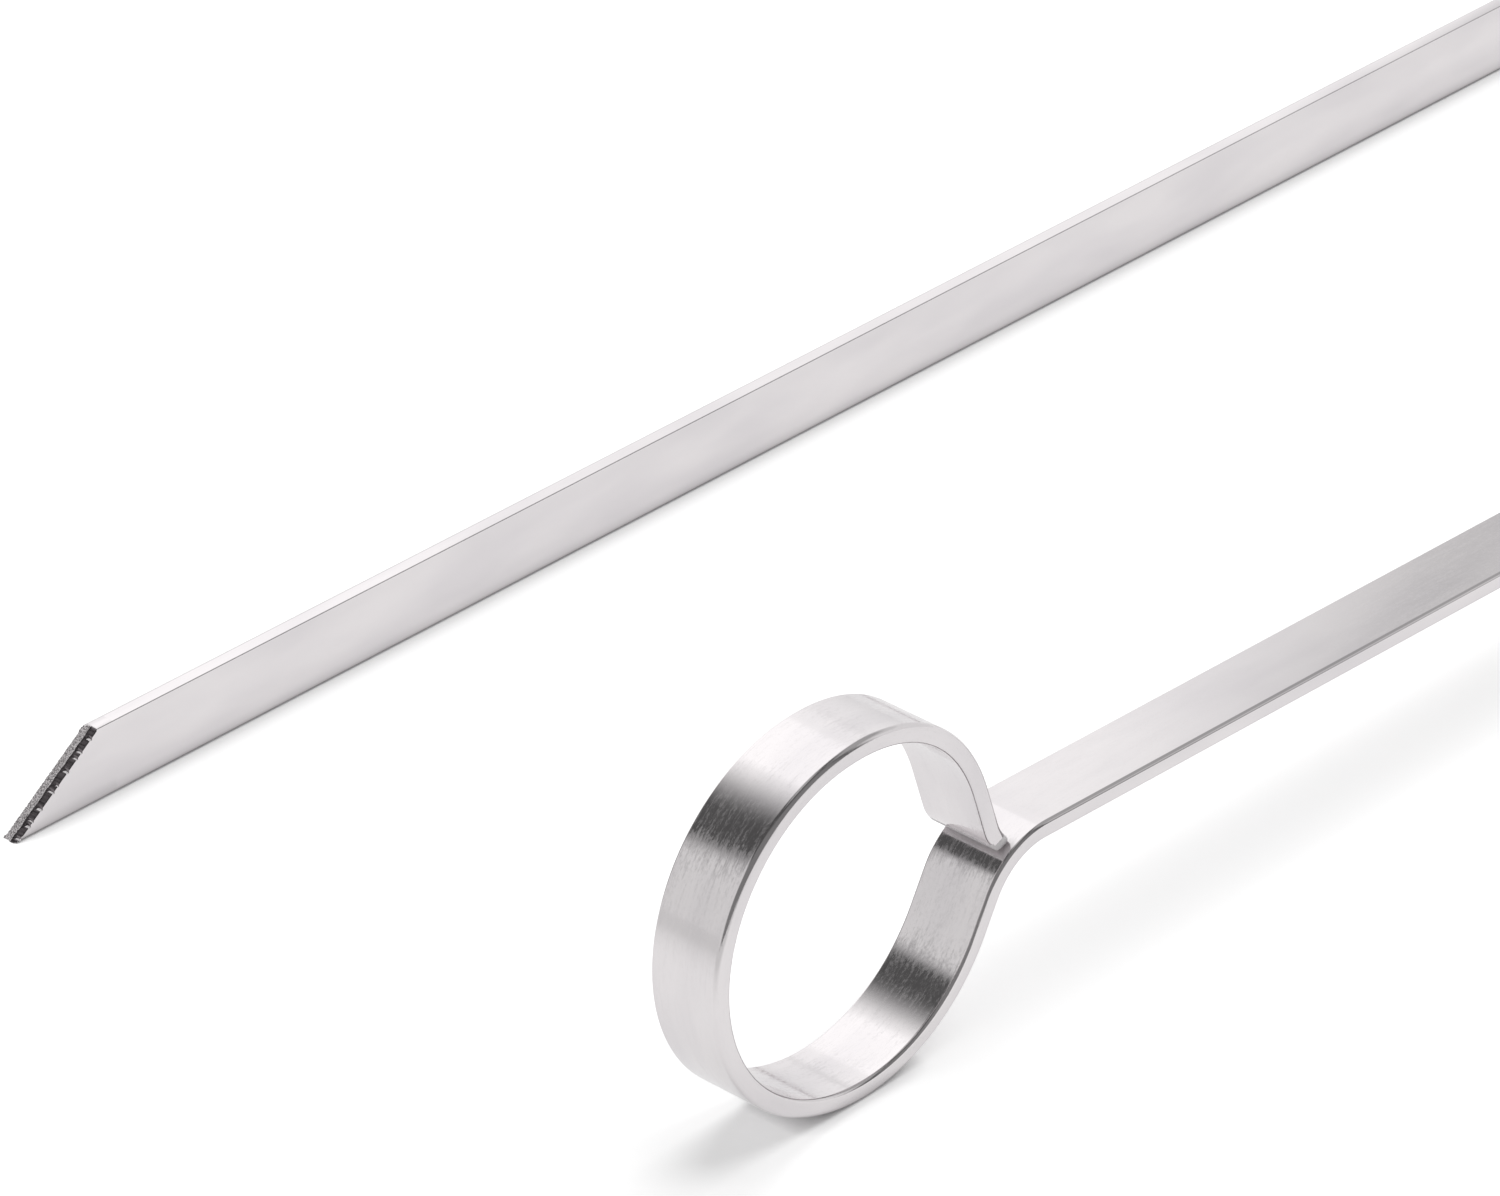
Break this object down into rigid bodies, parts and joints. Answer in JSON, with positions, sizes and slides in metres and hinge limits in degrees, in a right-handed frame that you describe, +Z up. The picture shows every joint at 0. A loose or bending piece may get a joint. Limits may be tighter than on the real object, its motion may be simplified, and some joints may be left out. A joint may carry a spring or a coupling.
{
  "type": "kebab skewer",
  "caption": "Flat stainless steel kebab skewers, each a strip sheared to a slanting point and bent round to a finger eye at the other end.",
  "frame": {"origin": "on the floor, under the middle of the pair's box", "axes": "+Z up, +X along the lying skewer's shaft from its point to its eye, -Y towards the standing skewer"},
  "size_m": [0.4036, 0.0872, 0.03],
  "materials": {
    "stainless_strip": "bright rolled stainless strip with a fine grain along its length, sheared ends left raw"
  },
  "bodies": {
    "lying_skewer": {"lying_skewer": "stainless_strip"},
    "standing_skewer": {"standing_skewer": "stainless_strip"}
  },
  "joints": [
    {"name": "standing_skewer_lift", "type": "slide", "parent": "lying_skewer", "child": "standing_skewer", "axis": [0, 0, 1], "range_m": [0, 0.06]}
  ]
}
